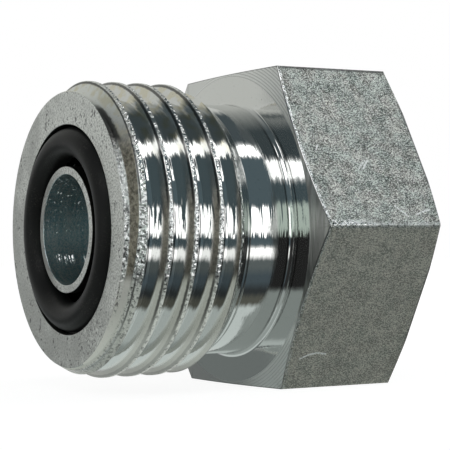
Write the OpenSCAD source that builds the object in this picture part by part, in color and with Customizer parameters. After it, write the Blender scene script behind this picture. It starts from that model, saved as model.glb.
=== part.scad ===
// Hex head plug for an O-ring face seal fitting, in two pieces: a turned steel
// body and the rubber ring in the groove of its nose face.
// The plug lies on a flat of its hexagon, as it comes to rest: the axis runs
// along X, the nose face looks toward -X, and the origin is on the surface below
// the middle of the plug's length, with the ring's crown counted in.

/* [Thread] */
// Crest diameter of the outside thread
thread_d = 17.4; // [17:0.05:18.5]
// Distance from one turn to the next, 16 turns to the inch
thread_pitch = 1.5875; // [1:0.0125:1.75]
// Hand of the thread: -1 is left-handed, as it looks in the photograph, 1 is right-handed
thread_hand = -1; // [-1, 1]
// Distance from the nose face to the first crest on the upper side
first_crest = 1.24; // [0.9:0.02:1.6]

/* [Nose] */
// Distance from the nose face to the shoulder of the hexagon
nose_len = 10.9; // [10:0.1:16]
// Outer diameter of the flat nose face
face_d = 16.06; // [15.7:0.02:16.8]
// Angle between the axis and the chamfer at the nose
nose_chamfer = 30; // [20:1:45]
// Angle between the axis and the slope at the end of the thread
runout_angle = 36; // [30:1:60]

/* [Neck] */
// Diameter of the plain neck behind the thread
neck_d = 15.2; // [14:0.1:15.3]
// Distance from the end of the slope to the shoulder
neck_len = 2.85; // [2:0.05:4]
// Radius of the fillet between the neck and the shoulder
neck_fillet = 0.3; // [0.1:0.05:0.8]

/* [Seal groove] */
// Outer diameter of the groove for the ring
groove_od = 12.26; // [11.8:0.02:14]
// Outer diameter of the thin rim inside the groove
rim_d = 7.4; // [7.1:0.02:7.8]
// Depth of the groove below the nose face
groove_depth = 1.4; // [1.2:0.02:2]

/* [Ring] */
// Diameter of the ring's round section
ring_section = 1.78; // [1.5:0.01:1.9]
// Clearance between the ring and the outer wall of the groove
ring_clearance = 0.12; // [0.05:0.01:0.2]
// Gap between the ring and the floor of the groove
ring_gap = 0.02; // [0.01:0.01:0.1]

/* [Bore] */
// Diameter of the blind bore in the nose
bore_d = 6.46; // [4:0.02:6.8]
// Depth of the bore at its full diameter
bore_depth = 11; // [5:0.1:13]
// Full angle of the drill's point at the end of the bore
drill_point = 118; // [90:1:140]

/* [Hexagon] */
// Width across the flats of the hexagon
hex_af = 19.05; // [18.8:0.05:24]
// Length of the hexagon along the axis
hex_len = 8.3; // [7:0.1:14]
// How far inside the flats the chamfer of the shoulder starts
shoulder_inset = 0.18; // [0.05:0.01:0.6]
// Angle between the shoulder and its chamfer
shoulder_chamfer = 12; // [5:1:30]
// How far outside the flats the chamfer of the end face starts
end_outset = 0.28; // [0.05:0.01:0.8]
// Angle between the end face and its chamfer
end_chamfer = 22; // [10:1:40]

/* [Hidden] */
$fn = 120;

// How far a cut or a blank reaches past the face that it opens or meets
over = 1;

// Radii of the turned outline
thread_r = thread_d / 2;
face_r = face_d / 2;
neck_r = neck_d / 2;
fillet_r = neck_r + neck_fillet;
rim_r = rim_d / 2;
groove_r = groove_od / 2;
bore_r = bore_d / 2;
section_r = ring_section / 2;

// Unified thread: flanks at 30 degrees, the flat crest an eighth of the pitch
// wide, and 17/24 of the sharp triangle's height deep
flank_angle = 30;
sharp_height = thread_pitch * cos(flank_angle);
thread_depth = 17 / 24 * sharp_height;
crest_flat = thread_pitch / 8;
root_r = thread_r - thread_depth;
root_flat = thread_pitch - crest_flat - 2 * thread_depth * tan(flank_angle);

// The tool that cuts the thread stands a little outside the crests
cut_steps = 48;
cut_over = 0.1;
cut_r = thread_r + cut_over;
cut_flat = root_flat + 2 * (cut_r - root_r) * tan(flank_angle);
cut_corners = [
    [root_r, -root_flat / 2],
    [cut_r, -cut_flat / 2],
    [cut_r, cut_flat / 2],
    [root_r, root_flat / 2]
];
cut_sides = len(cut_corners);

// Stations along the axis, counted from the nose face
chamfer_end = (thread_r - face_r) / tan(nose_chamfer);
neck_from = nose_len - neck_len;
runout_from = neck_from - (thread_r - neck_r) / tan(runout_angle);
fillet_from = nose_len - neck_fillet;
total_len = nose_len + hex_len;
first_root = first_crest - thread_pitch / 2;
cut_from = -cut_flat;
cut_to = neck_from + root_flat;
cut_count = ceil((cut_to - cut_from) / thread_pitch * cut_steps);

// The ring lies close to the outer wall and to the floor of its groove
ring_r = groove_r - ring_clearance - section_r;
ring_station = groove_depth - ring_gap - section_r;
ring_sides = 48;
ring_proud = max(section_r - ring_station, 0);

// Station that lies over the origin
middle = (total_len - ring_proud) / 2;

// Hexagon: its corners and the radii where its two chamfers start
hex_corner_r = hex_af / sqrt(3);
shoulder_r = hex_af / 2 - shoulder_inset;
end_r = hex_af / 2 + end_outset;

steel = [0.66, 0.67, 0.65];
rubber = [0.12, 0.12, 0.12];

// Lays what is drawn along +Z, from the nose face at 0, down on a flat
module lay_down() {
    translate([-middle, 0, hex_af / 2])
        rotate([0, 90, 0])
            children();
}

// Nose, thread blank and neck as one turned outline, without the thread
module turned_blank() {
    rotate_extrude()
        difference() {
            polygon([
                [0, 0],
                [face_r, 0],
                [thread_r, chamfer_end],
                [thread_r, runout_from],
                [neck_r, neck_from],
                [neck_r, fillet_from],
                [fillet_r, fillet_from],
                [fillet_r, nose_len + over],
                [0, nose_len + over]
            ]);
            translate([fillet_r, fillet_from])
                circle(r = neck_fillet);
        }
}

// Outline of the hexagon as turned at both ends, drawn out past its corners
module hexagon_turning() {
    outer_r = hex_corner_r + over;
    shoulder_rise = (outer_r - shoulder_r) * tan(shoulder_chamfer);
    end_drop = (outer_r - end_r) * tan(end_chamfer);
    rotate_extrude()
        polygon([
            [0, nose_len],
            [shoulder_r, nose_len],
            [outer_r, nose_len + shoulder_rise],
            [outer_r, total_len - end_drop],
            [end_r, total_len],
            [0, total_len]
        ]);
}

// Hexagon with a flat below and corners to the sides
module hexagon() {
    intersection() {
        translate([0, 0, nose_len - over])
            rotate([0, 0, 30])
                cylinder(r = hex_corner_r, h = hex_len + 2 * over, $fn = 6);
        hexagon_turning();
    }
}

// One section of the thread cut, from the root out past the crest
function cut_section(step) =
    let (
        station = cut_from + step / cut_steps * thread_pitch,
        angle = 180 + (station - first_root) / thread_pitch * 360
    )
    [
        for (corner = cut_corners)
        [corner[0] * cos(angle), corner[0] * sin(angle), station + corner[1]]
    ];

// The helical groove between the turns, as the solid that is cut away
module right_hand_cut() {
    points = [for (step = [0 : cut_count]) each cut_section(step)];
    sides = [
        for (step = [0 : cut_count - 1])
        for (side = [0 : cut_sides - 1])
        let (
            a = step * cut_sides + side,
            b = step * cut_sides + (side + 1) % cut_sides
        )
        each [[a, b, b + cut_sides], [a, b + cut_sides, a + cut_sides]]
    ];
    first_cap = [for (side = [cut_sides - 1 : -1 : 0]) side];
    last_cap = [for (side = [0 : cut_sides - 1]) cut_count * cut_sides + side];
    polyhedron(points = points, faces = concat(sides, [first_cap, last_cap]));
}

module thread_cut() {
    mirror([0, thread_hand < 0 ? 1 : 0, 0])
        right_hand_cut();
}

// Ring-shaped groove in the nose face, round the rim
module seal_groove() {
    rotate_extrude()
        polygon([
            [rim_r, -over],
            [groove_r, -over],
            [groove_r, groove_depth],
            [rim_r, groove_depth]
        ]);
}

// Blind bore with the cone that a drill leaves
module bore() {
    point_len = bore_r / tan(drill_point / 2);
    rotate_extrude()
        polygon([
            [0, -over],
            [bore_r, -over],
            [bore_r, bore_depth],
            [0, bore_depth + point_len]
        ]);
}

// Turned body with thread, neck and hexagon
module plug_body() {
    color(steel)
        lay_down()
            difference() {
                union() {
                    turned_blank();
                    hexagon();
                }
                thread_cut();
                seal_groove();
                bore();
            }
}

// Rubber ring that stands a little out of its groove
module o_ring() {
    color(rubber)
        lay_down()
            translate([0, 0, ring_station])
                rotate_extrude()
                    translate([ring_r, 0])
                        circle(r = section_r, $fn = ring_sides);
}

plug_body();
o_ring();
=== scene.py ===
"""Hex head face seal plug: a zinc-plated steel plug lying on a flat of its hexagon,
with a black rubber ring in the groove of its nose face.

The pieces are modelled in millimetres round the X axis, with the nose face at
station 0, and are laid on the floor in metres when they are finished.
"""

import math
from types import SimpleNamespace

import bpy
from bpy.props import FloatProperty, FloatVectorProperty, PointerProperty
from mathutils import Euler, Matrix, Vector


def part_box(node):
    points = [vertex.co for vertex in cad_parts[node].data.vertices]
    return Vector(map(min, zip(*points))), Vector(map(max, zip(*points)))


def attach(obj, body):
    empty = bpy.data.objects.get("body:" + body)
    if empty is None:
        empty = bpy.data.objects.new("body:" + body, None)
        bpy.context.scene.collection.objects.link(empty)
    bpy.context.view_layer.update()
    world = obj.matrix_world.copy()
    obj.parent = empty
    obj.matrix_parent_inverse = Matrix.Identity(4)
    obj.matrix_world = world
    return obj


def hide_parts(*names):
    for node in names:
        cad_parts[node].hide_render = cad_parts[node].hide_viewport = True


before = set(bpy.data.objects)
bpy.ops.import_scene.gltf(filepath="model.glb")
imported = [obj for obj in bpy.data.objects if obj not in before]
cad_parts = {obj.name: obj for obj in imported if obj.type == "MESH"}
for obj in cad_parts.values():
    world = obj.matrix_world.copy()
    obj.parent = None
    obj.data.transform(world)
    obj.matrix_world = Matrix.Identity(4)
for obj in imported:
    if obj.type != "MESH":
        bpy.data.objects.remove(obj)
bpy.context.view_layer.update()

bl_info = {
    "name": "Hex Head Face Seal Plug",
    "version": (1, 0, 0),
    "blender": (4, 5, 0),
    "location": "View3D > Sidebar > Plug",
    "description": "Models a plated hex head plug with its seal ring and lights it",
    "category": "Add Mesh",
}

MM = 0.001
BODY_LOW, BODY_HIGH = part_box("plug_body")
RING_LOW, RING_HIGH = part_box("o_ring")
NOSE_X = BODY_LOW.x / MM
AXIS_Z = (BODY_LOW.z + BODY_HIGH.z) / 2 / MM
LENGTH = (BODY_HIGH.x - BODY_LOW.x) / MM
ACROSS_FLATS = (BODY_HIGH.z - BODY_LOW.z) / MM
CORNER_RADIUS = ACROSS_FLATS / math.sqrt(3)
RING_SECTION = (RING_HIGH.x - RING_LOW.x) / MM
RING_OUTSIDE = (RING_HIGH.z - RING_LOW.z) / MM

# How far a blank or a tool reaches past the piece, in millimetres
OVER = 1.0

# Distance within which vertices are one, in millimetres
DOUBLED = 1e-5


def length(name, text, millimetres):
    """A size that the user can change, given here in millimetres."""
    return FloatProperty(
        name=name,
        description=text,
        default=millimetres * MM,
        min=0.0,
        precision=5,
        subtype="DISTANCE",
        unit="LENGTH",
    )


def angle(name, text, degrees):
    """An angle that the user can change, given here in degrees."""
    return FloatProperty(
        name=name,
        description=text,
        default=math.radians(degrees),
        subtype="ANGLE",
        unit="ROTATION",
    )


def colour(name, text, value):
    """A colour that the user can change."""
    return FloatVectorProperty(
        name=name,
        description=text,
        default=value,
        size=3,
        min=0.0,
        max=1.0,
        subtype="COLOR",
    )


def amount(name, text, value, highest=10.0):
    """A plain number that the user can change."""
    return FloatProperty(name=name, description=text, default=value, min=0.0, max=highest)


class PlugSizes(bpy.types.PropertyGroup):
    """Sizes of the steel body and the ring."""

    thread_d: length("Thread diameter", "Crest diameter of the thread", 17.4)
    pitch: length("Pitch", "Distance from one turn to the next", 1.5875)
    first_crest: length("First crest", "Nose face to the first crest, on the upper side", 1.24)
    nose_len: length("Nose length", "Nose face to the shoulder of the hexagon", 10.9)
    face_d: length("Face diameter", "Outer diameter of the flat nose face", 16.06)
    nose_chamfer: angle("Nose chamfer", "Angle between the axis and the nose chamfer", 30)
    runout_angle: angle("Run-out angle", "Angle between the axis and the thread's end", 36)
    neck_d: length("Neck diameter", "Diameter of the neck behind the thread", 15.2)
    neck_len: length("Neck length", "End of the run-out to the shoulder", 2.85)
    neck_fillet: length("Neck fillet", "Radius between the neck and the shoulder", 0.3)
    groove_od: length("Groove diameter", "Outer diameter of the ring's groove", 12.26)
    rim_d: length("Rim diameter", "Outer diameter of the rim inside the groove", 7.4)
    groove_depth: length("Groove depth", "Depth of the ring's groove", 1.4)
    bore_d: length("Bore diameter", "Diameter of the blind bore", 6.46)
    bore_depth: length("Bore depth", "Depth of the bore at its full diameter", 11.0)
    drill_point: angle("Drill point", "Full angle of the cone at the bore's end", 118)
    shoulder_inset: length("Shoulder inset", "Flat to the start of the front chamfer", 0.18)
    shoulder_chamfer: angle("Shoulder chamfer", "Angle between shoulder and chamfer", 12)
    end_outset: length("End outset", "Start of the end chamfer outside the flats", 0.28)
    end_chamfer: angle("End chamfer", "Angle between the end face and its chamfer", 14)
    edge_round: length("Edge rounding", "Radius that turned edges have worn to", 0.05)
    crest_round: length("Crest rounding", "Radius beside the flat crests of the thread", 0.08)
    root_round: length("Root rounding", "Radius in the roots of the thread", 0.12)
    corner_round: length("Corner rounding", "Width of the hexagon's worn long edges", 0.08)
    flat_edge_round: length("Flat edge rounding", "Width of the worn edge of each flat", 0.04)


class PlugFinish(bpy.types.PropertyGroup):
    """Colours of the plating and the rubber."""

    plating: colour("Plating", "Bright zinc on the turned surfaces", (0.70, 0.71, 0.70))
    grime: colour("Grime", "Dull brown on the front flanks of the thread", (0.22, 0.205, 0.165))
    dust: colour("Dust", "Pale dust low on the front flanks", (0.86, 0.84, 0.78))
    passivation: colour("Passivation", "Yellow tint beside the crests", (0.62, 0.56, 0.36))
    face: colour("Face", "Satin zinc on the nose face", (0.55, 0.56, 0.54))
    # A darker copy of Brushed also paints shade on the chamfer near the middle height
    brushed: colour("Brushed", "Duller zinc on the shoulder's chamfer", (0.50, 0.51, 0.49))
    flats: colour("Flats", "Pale ground of the flats", (0.93, 0.94, 0.89))
    flats_green: colour("Flats green", "Greenish patches of the ground", (0.88, 0.93, 0.88))
    flats_below: colour("Flats below", "Ground of the lower flats", (0.92, 0.90, 0.80))
    grains: colour("Grains", "Dark grains on the flats", (0.130, 0.132, 0.120))
    grains_green: colour("Grains green", "Greenish dark grains", (0.112, 0.130, 0.118))
    bore: colour("Bore", "Zinc inside the bore", (0.48, 0.64, 0.68))
    # Pits also gives the colour of the painted shade on the thread, in the seal groove and at the
    # fillet
    pits: colour("Pits", "Dark pits and specks in the plating", (0.10, 0.10, 0.10))
    rubber: colour("Rubber", "Black rubber of the ring", (0.012, 0.012, 0.012))
    rubber_dust: colour("Rubber dust", "Dust on the ring", (0.05, 0.047, 0.042))


class PlugStudio(bpy.types.PropertyGroup):
    """Camera and light."""

    camera_place: FloatVectorProperty(
        name="Camera place",
        description="Where the camera stands",
        default=(-0.04790, -0.08596, 0.00787),
        size=3,
        precision=5,
        subtype="TRANSLATION",
        unit="LENGTH",
    )
    camera_turn: FloatVectorProperty(
        name="Camera turn",
        description="How the camera is turned",
        default=(math.radians(91.104), math.radians(0.771), math.radians(-29.787)),
        size=3,
        subtype="EULER",
        unit="ROTATION",
    )
    lens: amount("Lens", "Focal length in millimetres on a 36 mm sensor", 128.685, 500.0)
    softbox: amount("Softbox", "Strength of the white strips that the metal mirrors", 2.4)
    backdrop: colour("Backdrop", "What the camera sees behind the plug", (1.0, 1.0, 1.0))
    floor_size: length("Floor size", "Width of the pale floor", 3000.0)
    floor_colour: colour("Floor colour", "Paint of the floor", (0.9, 0.9, 0.9))
    floor_glow: amount("Floor glow", "Strength of the floor's own light", 1.2)
    glow_share: amount("Glow share", "Share of that light in what the camera sees", 0.75, 1.0)


def plug_sizes(settings):
    """The user's sizes in millimetres and radians, and the places that follow from them."""
    size = SimpleNamespace()
    for name in PlugSizes.__annotations__:
        value = getattr(settings, name)
        in_metres = settings.bl_rna.properties[name].unit == "LENGTH"
        setattr(size, name, value / MM if in_metres else value)
    size.thread_r = size.thread_d / 2
    size.face_r = size.face_d / 2
    size.neck_r = size.neck_d / 2
    size.rim_r = size.rim_d / 2
    size.groove_r = size.groove_od / 2
    size.bore_r = size.bore_d / 2
    size.shoulder_r = ACROSS_FLATS / 2 - size.shoulder_inset
    size.end_r = ACROSS_FLATS / 2 + size.end_outset
    size.bore_end = size.bore_depth + size.bore_r / math.tan(size.drill_point / 2)
    size.chamfer_end = (size.thread_r - size.face_r) / math.tan(size.nose_chamfer)
    size.neck_from = size.nose_len - size.neck_len
    runout_len = (size.thread_r - size.neck_r) / math.tan(size.runout_angle)
    size.runout_from = size.neck_from - runout_len
    size.fillet_from = size.nose_len - size.neck_fillet
    return size


def clear_selection():
    """Leaves the object mode with nothing selected."""
    if bpy.context.object and bpy.context.object.mode != "OBJECT":
        bpy.ops.object.mode_set(mode="OBJECT")
    bpy.ops.object.select_all(action="DESELECT")


def only(piece):
    """Makes one piece the selected and active one."""
    clear_selection()
    piece.select_set(True)
    bpy.context.view_layer.objects.active = piece


def rounded(corners, steps=4):
    """Outline through (station, radius, rounding) corners, each rounded by an arc."""
    points = []
    for at, (station, radius, rounding) in enumerate(corners):
        here = Vector((station, radius))
        if rounding <= 0 or at in (0, len(corners) - 1):
            points.append(here)
            continue
        back = (Vector(corners[at - 1][:2]) - here).normalized()
        ahead = (Vector(corners[at + 1][:2]) - here).normalized()
        half = back.angle(ahead) / 2
        reach = rounding / math.tan(half)
        centre = here + (back + ahead).normalized() * rounding / math.sin(half)
        first = here + back * reach - centre
        last = here + ahead * reach - centre
        sweep = first.angle_signed(last)
        for step in range(steps + 1):
            turn = -sweep * step / steps
            cosine = math.cos(turn)
            sine = math.sin(turn)
            spoke = Vector((first.x * cosine - first.y * sine, first.x * sine + first.y * cosine))
            points.append(centre + spoke)
    return points


def draw_outline(name, points):
    """Extrudes one vertex from point to point, above the axis in the XZ plane."""
    clear_selection()
    bpy.ops.mesh.primitive_plane_add(size=1.0, location=(0, 0, 0))
    piece = bpy.context.object
    piece.name = name
    bpy.ops.object.mode_set(mode="EDIT")
    bpy.ops.mesh.select_all(action="SELECT")
    bpy.ops.mesh.merge(type="CENTER")
    bpy.ops.transform.translate(value=(points[0].x, 0, points[0].y))
    for before, point in zip(points, points[1:]):
        move = (point.x - before.x, 0, point.y - before.y)
        bpy.ops.mesh.extrude_vertices_move(TRANSFORM_OT_translate={"value": move})
    return piece


def tidy_mesh():
    """Merges doubled vertices and turns all faces outwards, in edit mode."""
    bpy.ops.mesh.select_all(action="SELECT")
    bpy.ops.mesh.remove_doubles(threshold=DOUBLED)
    bpy.ops.mesh.normals_make_consistent(inside=False)


def turn_on_lathe(name, points, steps):
    """Spins an outline that starts and ends on the axis into a closed solid."""
    piece = draw_outline(name, points)
    bpy.ops.mesh.select_all(action="SELECT")
    bpy.ops.mesh.spin(steps=steps, angle=math.tau, center=(0, 0, 0), axis=(1, 0, 0))
    tidy_mesh()
    bpy.ops.object.mode_set(mode="OBJECT")
    return piece


def combine(piece, tool, operation):
    """Cuts or trims a piece with a tool, and removes the tool."""
    only(piece)
    bpy.ops.object.modifier_add(type="BOOLEAN")
    cut = piece.modifiers[-1]
    cut.operation = operation
    cut.solver = "EXACT"
    cut.object = tool
    bpy.ops.object.modifier_apply(modifier=cut.name)
    bpy.data.objects.remove(tool)


def lay_down(piece, smooth_angle):
    """Shades a finished piece and puts it in its place on the floor, in metres."""
    only(piece)
    bpy.ops.object.shade_smooth_by_angle(angle=math.radians(smooth_angle))
    bpy.ops.object.modifier_add(type="WEIGHTED_NORMAL")
    piece.modifiers[-1].keep_sharp = True
    bpy.ops.object.modifier_apply(modifier=piece.modifiers[-1].name)
    piece.location = (NOSE_X * MM, 0, AXIS_Z * MM)
    piece.scale = (MM, MM, MM)
    bpy.ops.object.transform_apply(location=True, rotation=True, scale=True)


def body_outline(size):
    """Outline of the turned body, from the end of the bore round to the end face."""
    outer_r = CORNER_RADIUS + OVER
    rise = (outer_r - size.shoulder_r) * math.tan(size.shoulder_chamfer)
    drop = (outer_r - size.end_r) * math.tan(size.end_chamfer)
    edge = size.edge_round
    return rounded([
        (size.bore_end, 0, 0),
        (size.bore_depth, size.bore_r, 0),
        (0, size.bore_r, edge),
        (0, size.rim_r, edge),
        (size.groove_depth, size.rim_r, 2 * edge),
        (size.groove_depth, size.groove_r, 2 * edge),
        (0, size.groove_r, edge),
        (0, size.face_r, edge),
        (size.chamfer_end, size.thread_r, edge),
        (size.runout_from, size.thread_r, edge),
        (size.neck_from, size.neck_r, 4 * edge),
        (size.nose_len, size.neck_r, size.neck_fillet),
        (size.nose_len, size.shoulder_r, edge),
        (size.nose_len + rise, outer_r, 0),
        (LENGTH - drop, outer_r, 0),
        (LENGTH, size.end_r, 2 * edge),
        (LENGTH, 0, 0),
    ])


def hexagon_prism(size):
    """Bar with rounded long edges that trims the turned body to its hexagon."""
    clear_selection()
    bpy.ops.mesh.primitive_cylinder_add(
        vertices=6,
        radius=CORNER_RADIUS,
        depth=LENGTH + 4 * OVER,
        location=(LENGTH / 2, 0, 0),
        rotation=(0, math.pi / 2, 0),
    )
    prism = bpy.context.object
    prism.name = "hexagon_prism"
    bpy.ops.object.transform_apply(location=True, rotation=True, scale=True)
    bpy.ops.object.mode_set(mode="EDIT")
    bpy.ops.mesh.select_all(action="DESELECT")
    bpy.ops.object.mode_set(mode="OBJECT")
    for edge in prism.data.edges:
        first, last = (prism.data.vertices[v].co for v in edge.vertices)
        edge.select = abs(first.x - last.x) > LENGTH
    bpy.ops.object.mode_set(mode="EDIT")
    bpy.ops.mesh.select_mode(type="EDGE")
    bpy.ops.mesh.bevel(offset=size.corner_round, segments=4, affect="EDGES")
    bpy.ops.mesh.select_mode(type="VERT")
    bpy.ops.object.mode_set(mode="OBJECT")
    return prism


def thread_cutter(size, turns=7, turns_before=2, steps=180, clearance=0.2):
    """Left-handed helical tool that leaves the turns of the thread.

    Unified thread: flanks at 30 degrees, the flat crest an eighth of the pitch wide,
    and 17/24 of the sharp triangle's height deep.
    """
    pitch = size.pitch
    thread_r = size.thread_r
    flank_angle = math.radians(30)
    crest_flat = pitch / 8
    depth = 17 / 24 * pitch * math.cos(flank_angle)
    root_r = thread_r - depth
    crest_side = (pitch - crest_flat) / 2
    root_side = crest_side - depth * math.tan(flank_angle)
    flare = crest_side + size.crest_round
    rise = thread_r + size.crest_round / 4
    half = [
        (flare, thread_r + clearance, 0),
        (flare, rise, 0),
        (crest_side, thread_r, size.crest_round),
        (root_side, root_r, size.root_round),
    ]
    other = [(-station, radius, arc) for station, radius, arc in reversed(half)]
    start = size.first_crest - pitch / 2 - turns_before * pitch
    corners = [(start + station, radius, arc) for station, radius, arc in other + half]
    points = rounded(corners)
    cutter = draw_outline("thread_cutter", points + points[:1])
    bpy.ops.mesh.select_all(action="SELECT")
    bpy.ops.mesh.remove_doubles(threshold=DOUBLED)
    bpy.ops.object.mode_set(mode="OBJECT")
    bpy.ops.object.modifier_add(type="SCREW")
    screw = cutter.modifiers[-1]
    screw.axis = "X"
    screw.angle = -math.tau
    screw.screw_offset = pitch
    screw.iterations = turns
    screw.steps = steps
    screw.render_steps = steps
    bpy.ops.object.modifier_apply(modifier=screw.name)
    bpy.ops.object.mode_set(mode="EDIT")
    bpy.ops.mesh.select_all(action="SELECT")
    bpy.ops.mesh.fill_holes(sides=0)
    tidy_mesh()
    bpy.ops.object.mode_set(mode="OBJECT")
    return cutter


def is_flat(face, leaning=0.02, apart=0.01, smallest=1.0):
    """True for a face on one of the hexagon's flats, while the axis lies at zero."""
    upright = abs(face.normal.x) < leaning
    reach = face.center.y * face.normal.y + face.center.z * face.normal.z
    return upright and abs(reach - ACROSS_FLATS / 2) < apart and face.area > smallest


def wear_flat_edges(body, size):
    """Rounds the edges that bound the flats of the hexagon."""
    only(body)
    bpy.ops.object.mode_set(mode="EDIT")
    bpy.ops.mesh.select_mode(type="FACE")
    bpy.ops.mesh.select_all(action="DESELECT")
    bpy.ops.object.mode_set(mode="OBJECT")
    for face in body.data.polygons:
        face.select = is_flat(face)
    bpy.ops.object.mode_set(mode="EDIT")
    bpy.ops.mesh.region_to_loop()
    bpy.ops.mesh.select_mode(type="EDGE")
    bpy.ops.mesh.bevel(offset=size.flat_edge_round, segments=3, affect="EDGES")
    bpy.ops.mesh.select_mode(type="VERT")
    bpy.ops.object.mode_set(mode="OBJECT")


def region_of(face, size, near=0.02):
    """The region of the body that a face lies in, by its place and direction."""
    station = face.center.x
    radius = math.hypot(face.center.y, face.center.z)
    sideways = abs(face.normal.x) < 0.1
    forward = face.normal.x < -0.7
    backward = face.normal.x > 0.7
    if station > size.nose_len and sideways:
        return "flats"
    on_nose = station < near and face.normal.x < -0.5
    if on_nose or (station > size.nose_len + OVER and backward):
        return "satin"
    if radius < size.bore_r + near and near < station < size.bore_end:
        return "bore"
    beside_shoulder = abs(station - size.nose_len) < OVER / 2
    if beside_shoulder and forward and radius > size.neck_r + size.neck_fillet / 2:
        return "shoulder"
    return "turned"


def paint_regions(body, size, finishes):
    """Gives each region of the body its own finish, from a dictionary by region."""
    for finish in finishes.values():
        body.data.materials.append(finish)
    regions = list(finishes)
    for face in body.data.polygons:
        face.material_index = regions.index(region_of(face, size))


class Value:
    """A number, direction, colour or light that the nodes of a material work out.

    Arithmetic on it adds the nodes for it.
    """

    def __init__(self, socket):
        self.socket = socket
        self.tree = socket.id_data

    def calc(self, operation, *others):
        """Result of one step of arithmetic."""
        inputs = dict(enumerate((self, *others)))
        return work_out(self.tree, "ShaderNodeMath", inputs, operation=operation)

    def vector(self, operation, *others):
        """Result of one step of vector arithmetic."""
        inputs = dict(enumerate((self, *others)))
        output = "Value" if operation in ("LENGTH", "DOT_PRODUCT", "DISTANCE") else "Vector"
        return work_out(self.tree, "ShaderNodeVectorMath", inputs, output, operation=operation)

    def __add__(self, other):
        return self.calc("ADD", other)

    def __sub__(self, other):
        return self.calc("SUBTRACT", other)

    def __rsub__(self, other):
        return self.calc("MULTIPLY_ADD", -1.0, other)

    def __mul__(self, other):
        return self.calc("MULTIPLY", other)

    def __truediv__(self, other):
        return self.calc("DIVIDE", other)

    def __abs__(self):
        return self.calc("ABSOLUTE")


def feed(socket, value):
    """Links a socket to a worked-out value, or sets it to a plain one."""
    if isinstance(value, Value):
        value.tree.links.new(value.socket, socket)
    else:
        socket.default_value = value


def work_out(tree, kind, inputs, output=0, **settings):
    """Adds a node with its settings, feeds its inputs and gives one of its outputs."""
    made = tree.nodes.new(kind)
    for name, value in settings.items():
        setattr(made, name, value)
    for key, value in inputs.items():
        feed(made.inputs[key], value)
    return Value(made.outputs[output])


def split(vector):
    """The three parts of a vector."""
    first = work_out(vector.tree, "ShaderNodeSeparateXYZ", {0: vector})
    return [Value(socket) for socket in first.socket.node.outputs]


def join(*parts):
    """A vector from its three parts."""
    return work_out(parts[0].tree, "ShaderNodeCombineXYZ", dict(enumerate(parts)))


def stretched(tree, direction, share):
    """A direction made longer or shorter."""
    inputs = {0: direction, "Scale": share}
    return work_out(tree, "ShaderNodeVectorMath", inputs, operation="SCALE")


def most(first, *others):
    """The largest of several values."""
    for other in others:
        first = first.calc("MAXIMUM", other)
    return first


def fade(value, low, high):
    """0 at low, 1 at high and smooth between them, where low may be the larger one."""
    inputs = {"Value": value, "From Min": low, "From Max": high}
    smooth = {"interpolation_type": "SMOOTHSTEP"}
    return work_out(value.tree, "ShaderNodeMapRange", inputs, "Result", **smooth)


def window(value, low, high, soft):
    """1 between low and high, 0 outside, with soft ends."""
    return fade(value, low - soft, low + soft) * fade(value, high + soft, high - soft)


def noise(point, scale, detail=2.0, roughness=0.6):
    """Cloudy noise between 0 and 1, with one scale or with one for each axis."""
    if isinstance(scale, tuple):
        point, scale = point.vector("MULTIPLY", scale), 1.0
    inputs = {"Vector": point, "Scale": scale, "Detail": detail, "Roughness": roughness}
    return work_out(point.tree, "ShaderNodeTexNoise", inputs, "Fac")


def opaque(paint):
    """A colour in the form that a colour socket takes."""
    return paint if isinstance(paint, Value) else (*paint, 1)


def shade(paint, factor):
    """A colour made lighter or darker."""
    return tuple(min(1.0, part * factor) for part in paint)


def blend(share, first, second):
    """Mix of two colours, with the given share of the second."""
    inputs = {"Factor": share, 6: opaque(first), 7: opaque(second)}
    return work_out(share.tree, "ShaderNodeMix", inputs, 2, data_type="RGBA")


def bump(height, distance, strength, normal=None):
    """Normal of a surface raised by the height times the distance, in millimetres."""
    inputs = {"Height": height, "Distance": distance * MM, "Strength": strength}
    if normal is not None:
        inputs["Normal"] = normal
    return work_out(height.tree, "ShaderNodeBump", inputs, "Normal")


def lean(normal, direction, share):
    """A surface normal that leans toward a direction by a share of it."""
    return normal.vector("ADD", stretched(normal.tree, direction, share)).vector("NORMALIZE")


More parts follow.
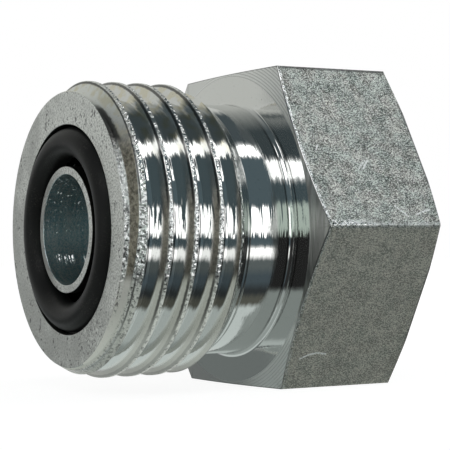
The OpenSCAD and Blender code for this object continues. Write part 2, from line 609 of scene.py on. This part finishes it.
class Place:
    """Where a point lies on the plug, in millimetres, and the directions from there."""

    def __init__(self, tree):
        inputs = {
            "Vector": work_out(tree, "ShaderNodeTexCoord", {}, "Object"),
            "Location": (-NOSE_X, 0, -AXIS_Z),
            "Scale": (1 / MM, 1 / MM, 1 / MM),
        }
        self.tree = tree
        self.point = work_out(tree, "ShaderNodeMapping", inputs)
        self.station, self.across, self.up = split(self.point)
        self.height = abs(self.up)
        spoke = self.point.vector("MULTIPLY", (0, 1, 1))
        self.radius = spoke.vector("LENGTH")
        self.spoke = spoke.vector("NORMALIZE")

    def in_world(self, direction):
        """A direction on the plug as a direction in the world."""
        settings = {"vector_type": "VECTOR", "convert_from": "OBJECT", "convert_to": "WORLD"}
        return work_out(self.tree, "ShaderNodeVectorTransform", {0: direction}, **settings)

    def normal(self):
        """The smooth normal of the surface."""
        return work_out(self.tree, "ShaderNodeNewGeometry", {}, "Normal")

    def round_axis(self):
        """Direction round the plug's axis, rising on the near side."""
        return self.in_world(self.spoke.vector("CROSS_PRODUCT", (1.0, 0.0, 0.0)))

    def thread_phase(self, size):
        """Distance from the nearest crest in turns of the thread, from -0.5 to 0.5."""
        roll = self.up.calc("ARCTAN2", self.across * -1.0)
        start = 0.75 - size.first_crest / size.pitch
        turns = self.station * (1 / size.pitch) + start - roll * (1 / math.tau)
        return turns.calc("FRACT") - 0.5

    def inside_flats(self):
        """How far a point lies inside the nearest of the hexagon's six flats."""
        slanted = abs(self.across) * math.cos(math.pi / 6) + self.height * 0.5
        return ACROSS_FLATS / 2 - most(self.height, slanted)

    def inside_corners(self):
        """How far a point on a flat lies from the nearest long edge of the hexagon."""
        squared = self.radius * self.radius - (ACROSS_FLATS / 2) ** 2
        return CORNER_RADIUS / 2 - squared.calc("MAXIMUM", 0.0).calc("SQRT")

    def scratch(self, start, end, wide=0.07):
        """1 along a straight scratch between two (station, up) places."""
        here = join(self.station - start[0], self.up - start[1], 0.0)
        run = Vector((end[0] - start[0], end[1] - start[1], 0))
        share = here.vector("DOT_PRODUCT", tuple(run / run.length_squared))
        share = share.calc("MAXIMUM", 0.0).calc("MINIMUM", 1.0)
        apart = here.vector("DISTANCE", stretched(self.tree, tuple(run), share))
        return fade(apart, wide, wide / 2)


def new_finish(name):
    """An empty material and the places on the plug that it reads."""
    finish = bpy.data.materials.new(name)
    finish.use_nodes = True
    return finish, Place(finish.node_tree)


def coat(finish, base, roughness, normal=None, metallic=1.0, specular=0.5):
    """Sets the looks of a material's shader, and gives its output."""
    shader = finish.node_tree.nodes["Principled BSDF"]
    feed(shader.inputs["Base Color"], opaque(base))
    feed(shader.inputs["Metallic"], metallic)
    feed(shader.inputs["Roughness"], roughness)
    feed(shader.inputs["Specular IOR Level"], specular)
    if normal is not None:
        feed(shader.inputs["Normal"], normal)
    return Value(shader.outputs[0])


def turned_zinc(colours, size):
    """Mirror-bright turned zinc: lathe lines tear the reflections, and crests are rough."""
    finish, place = new_finish("turned_zinc")
    point, station, radius, up = place.point, place.station, place.radius, place.up
    upper = fade(up, 0.6, 1.6)
    below = fade(up, -2.4, -3.2)
    near_middle = fade(place.height, 5.5, 3.0)
    threads = fade(station, size.neck_from - 0.50, size.neck_from - 0.65)
    crumbs = noise(point, (6.0, 4.5, 4.5), 3.0, 0.75)
    wobble = crumbs * 0.08 - 0.04
    torn_station = station + wobble * 2.0

    # Rough beads on the crests, the nose chamfer and the edge of the nose face
    phase = place.thread_phase(size)
    ragged = abs(phase) + wobble
    on_crest = fade(ragged + upper * 0.042, 0.105, 0.080) * threads
    cone = abs(radius - station * math.tan(size.nose_chamfer) - size.face_r)
    slope = station - up * 0.052
    chamfer = fade(cone, 0.035, 0.02) * fade(slope + wobble, 0.54, 0.62)
    chamfer = chamfer * fade(station, size.chamfer_end + 0.14, size.chamfer_end + 0.04)
    rim = fade(station + wobble - up * 0.03, 0.30, 0.24)
    rim = rim * fade(radius, size.face_r - 0.53, size.face_r - 0.43)
    rim = rim * fade(place.height, 6.0, 4.0)
    broken = most(on_crest, chamfer, rim)

    # Dull front flanks: brown, pale low down, and towards the top a lit copy of the face colour
    # as painted light, with a yellow tint at the top
    front = fade(slope, 0.72, 0.68)
    flank = fade(radius, size.thread_r - 0.58, size.thread_r - 0.3) * threads
    flank = flank * (fade(up, 3.6, 0.8) * 0.70 + 0.15)
    matte = most(flank, front)
    brown = blend(fade(crumbs, 0.35, 0.65), shade(colours.grime, 1.4), shade(colours.grime, 0.5))
    dusty = blend(below, brown, colours.dust)
    # Painted light: the flanks lighter towards the top
    dusty = blend(fade(up, 3.8, 7.0), dusty, shade(colours.face, 1.45))
    base = blend(matte, colours.plating, dusty)
    stain = noise(point, 1.3, 2.0, 0.5)
    tint = window(radius, size.thread_r - 0.7, size.thread_r - 0.1, 0.15) * threads
    tint = tint * fade(stain, 0.42, 0.60)
    base = blend(tint * fade(up, 4.0, 6.0) * 0.5, base, colours.passivation)
    # Worn beads with painted highlight: a lit copy of the plating, strongest at middle height and
    # weak low down
    worn = broken * (near_middle * 0.65 + 0.35) * (1 - below * 0.8)
    base = blend(worn, base, shade(colours.plating, 1.4))

    # Dark specks and gaps in the plating, and painted shade: dark lines beside the crests, in the
    # first turn, in the seal groove and at the fillet
    shaky = phase + wobble * 0.5
    # Painted shade where a crest hides the root: in front of it high and low, behind it at middle
    # height
    before = window(shaky, -0.125, -0.075, 0.012)
    behind = window(shaky, 0.425, 0.480, 0.012)
    left_side = most(upper, below)
    outline = (before * left_side + behind * (1 - left_side)) * threads
    outline = outline * (1 - fade(up, -4.2, -6.5) * 0.65)
    gaps = broken * fade(crumbs, 0.51, 0.58) * (near_middle * 0.4 + 0.6) * (1 - upper * 0.45)
    # Painted shade in the first turn, by the nose face
    shaded_wedge = fade(torn_station, 0.58, 0.50) * window(up, 4.8, 6.9, 0.25)
    shaded_root_line = window(shaky, 0.350, 0.460, 0.012) * fade(station, 0.7, 0.6) * fade(up, 3.5, 5.0)
    # Painted shade in the seal groove
    groove = fade(radius, size.groove_r + 0.1, size.groove_r + 0.02)
    groove = groove * fade(station, size.groove_depth + 0.6, size.groove_depth + 0.3)
    # Painted shade at the fillet between neck and shoulder
    fillet = window(torn_station, size.fillet_from - 0.08, size.fillet_from + 0.02, 0.03)
    fillet = fillet * fade(place.height, 7.0, 5.0) * 0.8
    specks = fade(noise(point, 11.0), 0.66, 0.72) * 0.5
    dark = most(specks, gaps, outline, shaded_wedge, shaded_root_line, groove, fillet)
    base = blend(dark * 0.85, base, shade(colours.pits, 0.4))

    # Lathe lines and streaks that pull the mirrored bands round the axis
    tears = noise(point, (9.0, 0.4, 0.4), 3.0, 0.75) - 0.5
    streaks = fade(noise(point, (8.0, 0.25, 0.25)), 0.51, 0.60) * window(up, -0.5, 1.6, 0.4)
    root_line = fade(ragged, 0.445, 0.470) * threads * window(up, 2.3, 3.9, 0.4)
    turn = tears * (upper * 0.09 + 0.06) + root_line * 0.25 + streaks * 0.17
    torn = lean(place.normal(), place.round_axis(), turn - flank * below * 0.30)
    lines = bump(tears, 0.010, 0.3, torn)
    facets = noise(point, 5.0, 0.5, 0.5)
    rough = bump(facets, 0.16, broken * (1 - below * 0.65), lines)
    coat(finish, base, most(broken * 0.10, matte * 0.38) + 0.05, rough)
    return finish


def shoulder_zinc(colours, size):
    """Zinc of the shoulder and its chamfer, faced on a lathe in fine rings."""
    finish, place = new_finish("shoulder_zinc")
    point, radius, up = place.point, place.radius, place.up
    chamfer = fade(radius, size.shoulder_r - 0.015, size.shoulder_r + 0.015)
    ring_spacing = 0.17
    wave = (radius * (math.tau / ring_spacing)).calc("SINE")
    tears = noise(join(radius * 8.0, place.across * 0.4, up * 0.4), 1.0, 3.0, 0.7) - 0.5
    dished = fade(place.height, 6.6, 8.2) * (1 - chamfer) * 0.2
    share = tears * 0.05 + dished + wave * (chamfer * 0.10 + 0.006)
    faced = lean(place.normal(), place.in_world(place.spoke), share)
    torn = lean(faced, place.round_axis(), tears * 0.03)
    rough = bump(noise(point, 5.0, 3.0), 0.02, 0.12, torn)

    # Painted light and shade on the chamfer: a lit copy of the plating, made darker near the
    # middle height and far below
    corner = chamfer * fade(place.height, 6.5, 4.0)
    brushed = fade(noise(point, (4.0, 4.0, 0.35)), 0.42, 0.60) * corner
    # Painted shade low on the far side of the chamfer
    shaded_far_below = fade(up, -5.0, -7.0) * fade(place.across, -4.5, 0.0) * chamfer
    hatch = fade(wave, 0.1, 0.8) * chamfer * fade(place.height, 5.5, 7.0)
    base = blend(chamfer, colours.plating, shade(colours.plating, 1.15))
    base = blend(corner, base, shade(colours.brushed, 0.75))
    base = blend(brushed * 0.7, base, shade(colours.brushed, 0.42))
    base = blend(shaded_far_below, base, shade(colours.plating, 0.62))
    base = blend(hatch * 0.42, base, shade(colours.brushed, 0.5))
    specks = fade(noise(point, 9.0), 0.68, 0.74) * 0.6
    edge = fade(place.inside_flats(), 0.07, 0.03)
    base = blend(most(specks, edge), base, colours.pits)
    coat(finish, base, chamfer * 0.24 + 0.06, rough)
    return finish


def satin_face_zinc(colours, size):
    """Satin zinc of the nose face and the end face, with dark pits."""
    finish, place = new_finish("satin_face_zinc")
    point, across = place.point, place.across
    grain = noise(point, 8.0, 2.0, 0.7)
    # Cloudy tone, with painted light that makes the face lighter towards the top and the near
    # side
    tone_and_painted_light = noise(point, 0.55, 3.0) + place.up * 0.018 - across * 0.022
    base = blend(fade(tone_and_painted_light, 0.25, 0.75), shade(colours.face, 0.95), shade(colours.face, 1.5))
    base = blend(fade(grain, 0.44, 0.64) * 0.8, base, shade(colours.face, 0.62))

    # Pits and nicks that crowd together in places, and fine cracks round one spot
    crowd = fade(noise(point, 0.7, 1.0, 0.5), 0.38, 0.64)
    pits = fade(noise(point, 3.4) + crowd * 0.08, 0.69, 0.73)
    nicks = fade(noise(point, (2.2, 2.2, 1.32), 3.0, 0.7) + crowd * 0.06, 0.66, 0.69)
    cracked_spot = (0.0, -3.6, -6.2)
    near_spot = fade(point.vector("DISTANCE", cracked_spot), 2.6, 1.6)
    cracks = fade(abs(noise(point, 1.7) - 0.5), 0.020, 0.008) * near_spot * 0.8
    base = blend(most(pits, nicks, cracks) * 0.85, base, colours.pits)

    # Shaded far half of the rim inside the ring
    on_rim = fade(place.radius, size.rim_r + 0.3, size.rim_r + 0.1)
    on_rim = on_rim * fade(place.station, 2.0, 1.0)
    base = blend(on_rim * fade(across, 0.5, 2.5) * 0.6, base, shade(colours.face, 0.4))
    coat(finish, base, 0.40, bump(grain, 0.03, 0.6))
    return finish


# Ends of the scratches on the near flats, as (station, up) places
FLAT_SCRATCHES = [
    ((14.5, 3.3), (15.1, 3.8)),
    ((14.8, 3.3), (15.3, 3.8)),
    ((12.0, 4.4), (12.2, 4.7)),
    ((16.1, 1.1), (16.8, 0.5)),
    ((17.4, 0.6), (18.5, 0.9)),
    ((11.9, -7.7), (12.4, -7.5)),
    ((12.4, -7.5), (13.0, -7.4)),
    ((13.0, -7.4), (13.6, -7.5)),
]


def mottled_flat_zinc(colours, size):
    """Matte mottled zinc of the hexagon's flats, with worn edges and scratches."""
    finish, place = new_finish("mottled_flat_zinc")
    point, station, up = place.point, place.station, place.up
    upper = fade(up, -0.3, 0.0)
    crumbs = noise(point, 4.0)

    # Dark grains on a pale ground, with more contrast on the upper flats; the lower flats get
    # more dark grains all over as painted shade
    level = noise(point, (9.0, 9.0, 19.0), 1.0, 0.8)
    upright = noise(point, (19.0, 19.0, 9.0), 1.0, 0.8)
    grain = (level + upright) * 0.5
    spots = fade(noise(point, 1.2, 3.0) * 0.17 + grain * 0.83, 0.425, 0.56)
    # Painted shade: the lower flats darker all over
    spots = spots * upper + (spots * 0.55 + 0.25) * (1 - upper)
    green = fade(noise(point, 0.8), 0.40, 0.60)
    pale = blend(upper, colours.flats_below, blend(green, colours.flats, colours.flats_green))
    deep = blend(green, colours.grains, colours.grains_green)
    base = blend(spots, pale, deep)

    # Edges worn bright in broken beads, with a wider strip below the upper flat's edge; a lit
    # copy of the plating adds painted highlight, stronger on the upper flats
    rise = math.tan(size.shoulder_chamfer)
    beads = 0.15 - crumbs * 0.3
    front = station - place.radius * rise - (size.nose_len - size.shoulder_r * rise) + beads
    side = place.inside_corners() + beads
    front_line = fade(front, 0.23, 0.17)
    side_line = fade(side, 0.20, 0.12) * fade(place.height, 8.0, 7.0)
    side_line = side_line * (fade(station, 15.5, 13.5) * 0.5 + 0.5)
    strip = fade(side, 0.42, 0.30) * window(up, 0.0, 0.6, 0.02) * fade(station, 15.0, 12.5)
    worn = most(front_line, side_line, strip)
    # Painted highlight on the worn edges, stronger on the upper flats
    bright = worn * fade(crumbs, 0.60, 0.46) * (upper * 0.6 + 0.4)
    scratches = most(*(place.scratch(start, end) for start, end in FLAT_SCRATCHES))
    scratches = scratches * fade(grain, 0.68, 0.50) * fade(place.across, 0.0, -1.0)
    base = blend(most(bright, scratches), base, shade(colours.plating, 1.4))

    # Dark edge at the end face and along the top
    top = ACROSS_FLATS / 2
    back = most(fade(station, LENGTH - 0.16, LENGTH - 0.06), fade(up, top - 0.205, top - 0.105))
    base = blend(back * 0.7, base, colours.pits)
    coat(finish, base, 0.5 - worn * 0.25, bump(grain, 0.04, worn * 0.4 + 0.5))
    return finish


def bore_zinc(colours):
    """Dull zinc inside the bore, with rings left by the tool and painted glints in streaks and
    flecks.
    """
    finish, place = new_finish("bore_zinc")
    point, up = place.point, place.up
    grain = noise(point, 9.0, 3.0, 0.75)
    mixed = grain * 0.8 + noise(point, (6.0, 0.5, 0.5), 3.0) * 0.3
    zone = window(noise(point, 5.0) * 0.9 + up, -1.50, -1.02, 0.12)
    zone = zone * fade(place.across, 0.5, 1.2) * window(place.station, 0.5, 3.1, 0.3)
    strokes = fade(noise(point, (11.0, 0.6, 0.6), 1.0, 0.5), 0.49, 0.60)
    streaks = zone * strokes * fade(grain, 0.38, 0.56)
    flecks = fade(noise(point, 7.5, 1.0, 0.5), 0.65, 0.70) * fade(up, -1.0, 1.0)
    # Painted glints: a lit copy of the plating in streaks and flecks, whose normals lean out of
    # the bore
    glint = most(streaks, flecks)
    bright = shade(colours.plating, 1.3)
    base = blend(fade(mixed, 0.44, 0.66), colours.bore, bright)
    out_of_bore = place.in_world((-1.0, 0.0, 0.0))
    torn = lean(place.normal(), out_of_bore, glint * 0.55)
    coat(finish, blend(glint, base, bright), 0.3, bump(mixed, 0.03, 0.5, torn))
    return finish


def soft_rubber(colours):
    """Black rubber with a soft sheen and a little dust."""
    finish, place = new_finish("soft_rubber")
    grain = noise(place.point, 12.0, 3.0)
    dusty = fade(grain, 0.5, 0.75) * fade(noise(place.point, 0.8), 0.4, 0.7)
    base = blend(dusty, colours.rubber, colours.rubber_dust)
    coat(finish, base, 0.38, bump(grain, 0.006, 0.4), metallic=0.0, specular=0.12)
    return finish


# Roll angles in degrees at which each band of the studio begins, with the softness of
# its edge, as seen in a surface that mirrors it to the camera: on the sides of the
# plug, in the corner between neck and shoulder, and on the faces
SIDE_BANDS = [
    (-180, 1, "back"),
    (-95, 2, "low"),
    (-38, 0.6, "brown"),
    (-32.5, 1.5, "ink"),
    (-27.5, 2, "dim_blue"),
    (-20.5, 2, "moss"),
    (-14.6, 0.6, "thin_strip"),
    (-9, 0.6, "navy"),
    (-3.3, 0.6, "strip"),
    (9, 0.6, "navy"),
    (33, 0.6, "strip"),
    (40.5, 0.6, "slate"),
    (66, 3, "high"),
    (120, 4, "back"),
]
CORNER_BANDS = [
    (-180, 1, "back"),
    (-100, 4, "mist"),
    (-30, 1, "black"),
    (-2, 1, "pale"),
    (10.5, 1, "navy"),
    (21, 1, "strip"),
    (32, 1, "slate"),
    (62, 12, "high"),
    (120, 4, "back"),
]
FACE_BANDS = [
    (-180, 1, "back"),
    (-130, 4, "shade"),
    (-60, 6, "dusk"),
    (-26, 1.5, "umber"),
    (1, 1, "pale"),
    (9.3, 1.5, "navy"),
    (18.5, 2, "strip"),
    (28, 2.5, "slate"),
    (54, 14, "high"),
    (120, 4, "back"),
]
BAND_LIGHT = {
    "plain": (0.66, 0.67, 0.65),
    "back": (0.50, 0.51, 0.52),
    "low": (0.63, 0.69, 0.67),
    "mist": (0.37, 0.41, 0.395),
    "dusk": (0.285, 0.32, 0.305),
    "shade": (0.18, 0.20, 0.195),
    "umber": (0.100, 0.098, 0.090),
    "brown": (0.110, 0.112, 0.094),
    "ink": (0.038, 0.044, 0.046),
    "dim_blue": (0.074, 0.098, 0.112),
    "moss": (0.125, 0.146, 0.146),
    "black": (0.030, 0.030, 0.030),
    "strip": (1.0, 1.0, 1.0),
    "thin_strip": (0.93, 0.93, 0.92),
    "pale": (0.70, 0.81, 0.73),
    "navy": (0.094, 0.130, 0.146),
    "slate": (0.074, 0.094, 0.102),
    "high": (0.62, 0.63, 0.60),
}


def band_ramp(turn, bands):
    """Colour ramp round the axis that holds the bands, with soft edges."""
    ramp = work_out(turn.tree, "ShaderNodeValToRGB", {"Fac": turn}, "Color")
    stops = ramp.socket.node.color_ramp.elements
    stops[0].color = opaque(BAND_LIGHT[bands[0][2]])
    stops[1].color = opaque(BAND_LIGHT[bands[-1][2]])
    for (_, _, before), (start, soft, after) in zip(bands, bands[1:]):
        for edge, name in ((start - soft, before), (start + soft, after)):
            stop = stops.new((edge + 180) / 360)
            stop.color = opaque(BAND_LIGHT[name])
    return ramp


def glow(tree, paint, strength, kind="ShaderNodeBackground"):
    """Light of one colour, from all round or from a surface."""
    return work_out(tree, kind, {"Color": opaque(paint), "Strength": strength})


def mix_light(share, first, second):
    """Mix of two lights, with the given share of the second."""
    return work_out(share.tree, "ShaderNodeMixShader", {0: share, 1: first, 2: second})


def to_camera(tree):
    """1 for what the camera sees by itself, 0 for what lights or is mirrored."""
    return work_out(tree, "ShaderNodeLightPath", {}, "Is Camera Ray")


def paint_studio(world, studio):
    """Paints the bands that the turned metal mirrors, and white behind the plug."""
    world.use_nodes = True
    tree = world.node_tree
    tree.nodes.clear()
    direction = work_out(tree, "ShaderNodeTexCoord", {}, "Generated")

    # The normal of a surface that mirrors a direction to the camera lies halfway between
    toward_camera = Euler(studio.camera_turn).to_matrix().col[2]
    halfway = direction.vector("ADD", tuple(toward_camera))
    size = halfway.vector("LENGTH")
    unit = size.calc("MAXIMUM", 0.001)
    along, across, up = split(halfway)
    turn = up.calc("ARCTAN2", across * -1.0) * (1 / math.tau) + 0.5
    tilt = halfway.vector("MULTIPLY", (0, 1, 1)).vector("LENGTH") / unit
    corner = fade(along / unit, -0.30, -0.42) * fade(tilt, 0.55, 0.62)
    sides = blend(corner, band_ramp(turn, SIDE_BANDS), band_ramp(turn, CORNER_BANDS))
    bands = blend(fade(tilt, 0.34, 0.46), band_ramp(turn, FACE_BANDS), sides)
    bright = work_out(tree, "ShaderNodeRGBToBW", {"Color": bands})
    softboxes = fade(bright, 0.85, 1.0) * (studio.softbox - 1.0) + 1.0
    banded = fade(tilt, 0.10, 0.18) * fade(size, 0.25, 0.7)
    plain = glow(tree, BAND_LIGHT["plain"], 1.0)
    mirrored = mix_light(banded, plain, glow(tree, bands, softboxes))
    seen = mix_light(to_camera(tree), mirrored, glow(tree, studio.backdrop, 1.0))
    feed(tree.nodes.new("ShaderNodeOutputWorld").inputs["Surface"], seen)


def floor_paint(studio):
    """Pale floor that shows white to the camera and keeps the plug's shadow."""
    finish = bpy.data.materials.new("pale_floor")
    finish.use_nodes = True
    tree = finish.node_tree
    matte = coat(finish, studio.floor_colour, 0.9, metallic=0.0, specular=0.0)
    shine = glow(tree, studio.backdrop, studio.floor_glow, "ShaderNodeEmission")
    seen = mix_light(to_camera(tree) * studio.glow_share, matte, shine)
    feed(tree.nodes["Material Output"].inputs["Surface"], seen)
    return finish


class PLUG_OT_set_camera(bpy.types.Operator):
    """Add the camera at the photograph's viewing angle"""

    bl_idname = "plug.set_camera"
    bl_label = "Set Camera"

    def execute(self, context):
        studio = context.scene.plug_studio
        clear_selection()
        bpy.ops.object.camera_add(location=studio.camera_place, rotation=studio.camera_turn)
        camera = context.object
        camera.name = "camera"
        camera.data.sensor_width = 36
        camera.data.lens = studio.lens
        camera.data.clip_start = 0.005
        camera.data.clip_end = 20
        context.scene.camera = camera
        return {"FINISHED"}


class PLUG_OT_build_stage(bpy.types.Operator):
    """Add the pale floor and paint the studio's light"""

    bl_idname = "plug.build_stage"
    bl_label = "Build Stage"

    def execute(self, context):
        studio = context.scene.plug_studio
        clear_selection()
        bpy.ops.mesh.primitive_plane_add(size=studio.floor_size, location=(0, 0, 0))
        floor = context.object
        floor.name = "floor"
        floor.data.materials.append(floor_paint(studio))
        floor.visible_glossy = False
        if context.scene.world is None:
            context.scene.world = bpy.data.worlds.new("studio")
        paint_studio(context.scene.world, studio)
        context.scene.view_settings.view_transform = "Standard"
        return {"FINISHED"}


class PLUG_OT_model_body(bpy.types.Operator):
    """Turn the steel body, trim its hexagon, cut its thread and plate it"""

    bl_idname = "plug.model_body"
    bl_label = "Model Plug Body"

    def execute(self, context):
        size = plug_sizes(context.scene.plug_sizes)
        colours = context.scene.plug_finish
        body = turn_on_lathe("steel_body", body_outline(size), steps=192)
        combine(body, hexagon_prism(size), "INTERSECT")
        wear_flat_edges(body, size)
        combine(body, thread_cutter(size), "DIFFERENCE")
        if not body.data.polygons:
            raise RuntimeError("the plug body came out empty")
        finishes = {
            "turned": turned_zinc(colours, size),
            "satin": satin_face_zinc(colours, size),
            "flats": mottled_flat_zinc(colours, size),
            "bore": bore_zinc(colours),
            "shoulder": shoulder_zinc(colours, size),
        }
        paint_regions(body, size, finishes)
        lay_down(body, smooth_angle=28)
        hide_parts("plug_body")
        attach(body, "root")
        return {"FINISHED"}


class PLUG_OT_model_ring(bpy.types.Operator):
    """Mould the rubber ring in its groove"""

    bl_idname = "plug.model_ring"
    bl_label = "Model Seal Ring"

    def execute(self, context):
        clear_selection()
        section_r = RING_SECTION / 2
        bpy.ops.mesh.primitive_torus_add(
            major_segments=180,
            minor_segments=48,
            major_radius=RING_OUTSIDE / 2 - section_r,
            minor_radius=section_r,
            location=(RING_LOW.x / MM - NOSE_X + section_r, 0, 0),
            rotation=(0, math.pi / 2, 0),
        )
        ring = context.object
        ring.name = "rubber_ring"
        ring.data.materials.append(soft_rubber(context.scene.plug_finish))
        bpy.ops.object.transform_apply(location=True, rotation=True, scale=True)
        lay_down(ring, smooth_angle=60)
        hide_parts("o_ring")
        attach(ring, "root")
        return {"FINISHED"}


class VIEW3D_PT_plug(bpy.types.Panel):
    """Steps that model the plug, in their order"""

    bl_label = "Hex Head Face Seal Plug"
    bl_space_type = "VIEW_3D"
    bl_region_type = "UI"
    bl_category = "Plug"

    def draw(self, context):
        scene = context.scene
        for settings in (scene.plug_sizes, scene.plug_finish, scene.plug_studio):
            box = self.layout.box()
            for name in settings.__annotations__:
                box.prop(settings, name)
        column = self.layout.column()
        for step in STEPS:
            column.operator(step.bl_idname)


STEPS = (
    PLUG_OT_set_camera,
    PLUG_OT_build_stage,
    PLUG_OT_model_body,
    PLUG_OT_model_ring,
)
CLASSES = (PlugSizes, PlugFinish, PlugStudio, *STEPS, VIEW3D_PT_plug)


def register():
    for kind in CLASSES:
        bpy.utils.register_class(kind)
    bpy.types.Scene.plug_sizes = PointerProperty(type=PlugSizes)
    bpy.types.Scene.plug_finish = PointerProperty(type=PlugFinish)
    bpy.types.Scene.plug_studio = PointerProperty(type=PlugStudio)


def unregister():
    del bpy.types.Scene.plug_studio
    del bpy.types.Scene.plug_finish
    del bpy.types.Scene.plug_sizes
    for kind in reversed(CLASSES):
        bpy.utils.unregister_class(kind)


def main():
    register()
    bpy.ops.plug.set_camera()
    bpy.ops.plug.build_stage()
    bpy.ops.plug.model_body()
    bpy.ops.plug.model_ring()


if __name__ == "__main__":
    main()
